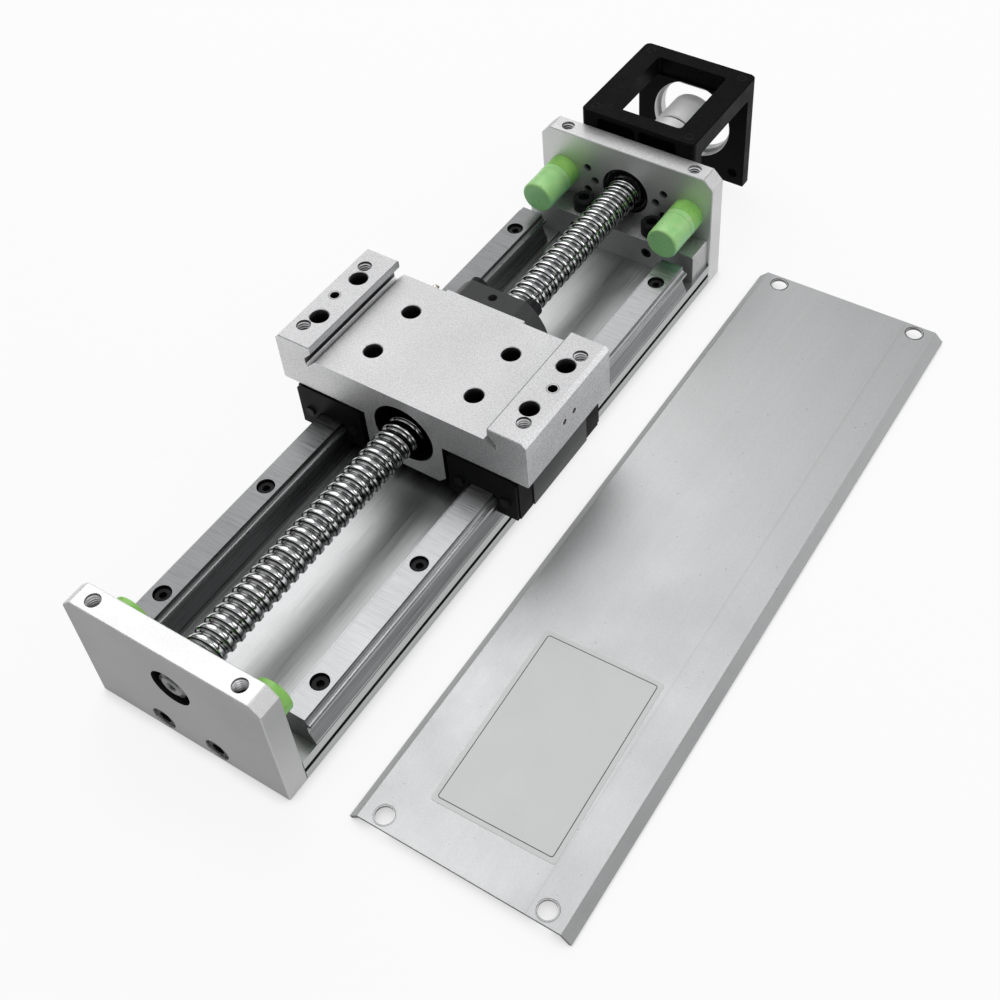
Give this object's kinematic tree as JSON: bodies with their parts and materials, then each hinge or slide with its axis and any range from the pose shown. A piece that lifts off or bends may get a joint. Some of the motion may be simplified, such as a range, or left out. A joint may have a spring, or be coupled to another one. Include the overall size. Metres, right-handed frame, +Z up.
{
  "type": "linear sliding table",
  "caption": "Ball screw linear sliding table: carriage on two profile rails between end plates, motor bracket with coupling, and a loose cover plate beside it.",
  "frame": {"origin": "middle of the base's underside, halfway between the outer faces of the end plates", "axes": "+X across the table towards the loose cover, +Y along the travel towards the motor end, +Z up"},
  "size_m": [0.2171, 0.382, 0.067],
  "materials": {
    "blasted_aluminium": "bead-blasted, clear anodised",
    "ground_steel": "ground",
    "polished_steel": "ground and polished",
    "black_screws": "black oxide, oiled",
    "dark_steel": "hardened and ground, dark",
    "green_rubber": "satin",
    "pale_green_rubber": "satin, a little translucent",
    "black_bracket": "black anodised, satin",
    "matte_aluminium": "turned, matte",
    "black_plastic": "moulded",
    "spider_polymer": "moulded",
    "plated_steel": "zinc plated",
    "sheet_aluminium": "fine bead-blasted, clear anodised"
  },
  "bodies": {
    "base": {"base_extrusion": "blasted_aluminium", "rail_left": "ground_steel", "rail_right": "ground_steel", "rail_screws": "black_screws", "front_plate": "blasted_aluminium", "rear_plate": "blasted_aluminium", "front_plate_screws": "black_screws", "rear_plate_screws": "black_screws", "bumpers_front": "green_rubber", "bumpers_rear": "green_rubber", "bumper_tips": "pale_green_rubber", "support_block": "blasted_aluminium", "support_block_screws": "black_screws", "support_block_grub_screws": "black_screws", "front_bearing_outer_ring": "polished_steel", "rear_bearing_outer_rings": "polished_steel", "rear_retaining_ring": "black_screws", "front_bearing_seals": "black_plastic", "rear_bearing_seals": "black_plastic", "motor_bracket": "black_bracket", "bracket_screws": "black_screws"},
    "screw": {"ball_screw": "polished_steel", "front_bearing_inner_ring": "polished_steel", "front_bearing_balls": "polished_steel", "rear_bearing_inner_rings": "polished_steel", "rear_bearing_balls": "polished_steel", "lock_nut": "black_screws", "coupling_hub_screw_side": "matte_aluminium", "coupling_hub_motor_side": "matte_aluminium", "coupling_spider": "spider_polymer", "coupling_clamp_screws": "black_screws"},
    "carriage": {"carriage_plate": "blasted_aluminium", "carriage_screws": "black_screws", "guide_block_left": "ground_steel", "guide_block_right": "ground_steel", "guide_balls_left": "polished_steel", "guide_balls_right": "polished_steel", "end_caps_left": "black_plastic", "end_caps_right": "black_plastic", "end_seals_left": "black_plastic", "end_seals_right": "black_plastic", "cap_screws": "black_screws", "grease_nipple": "plated_steel", "ball_nut": "dark_steel", "nut_wipers": "black_plastic", "nut_screws": "black_screws"},
    "cover": {"cover_plate": "sheet_aluminium"}
  },
  "joints": [
    {"name": "carriage_slide", "type": "slide", "parent": "base", "child": "carriage", "axis": [0, 1, 0], "range_m": [-0.1175, 0.0835]},
    {"name": "screw_spin", "type": "hinge", "parent": "base", "child": "screw", "pos_m": [0, 0, 0.037], "axis": [0, 1, 0], "range_deg": [-6100, 8500]},
    {"name": "cover_lift", "type": "slide", "parent": "base", "child": "cover", "axis": [0, 0, 1], "range_m": [0, 0.1]}
  ],
  "couplings": [
    {"joint": "screw_spin", "follows": "carriage_slide", "rad_per_m": -1256.6}
  ]
}
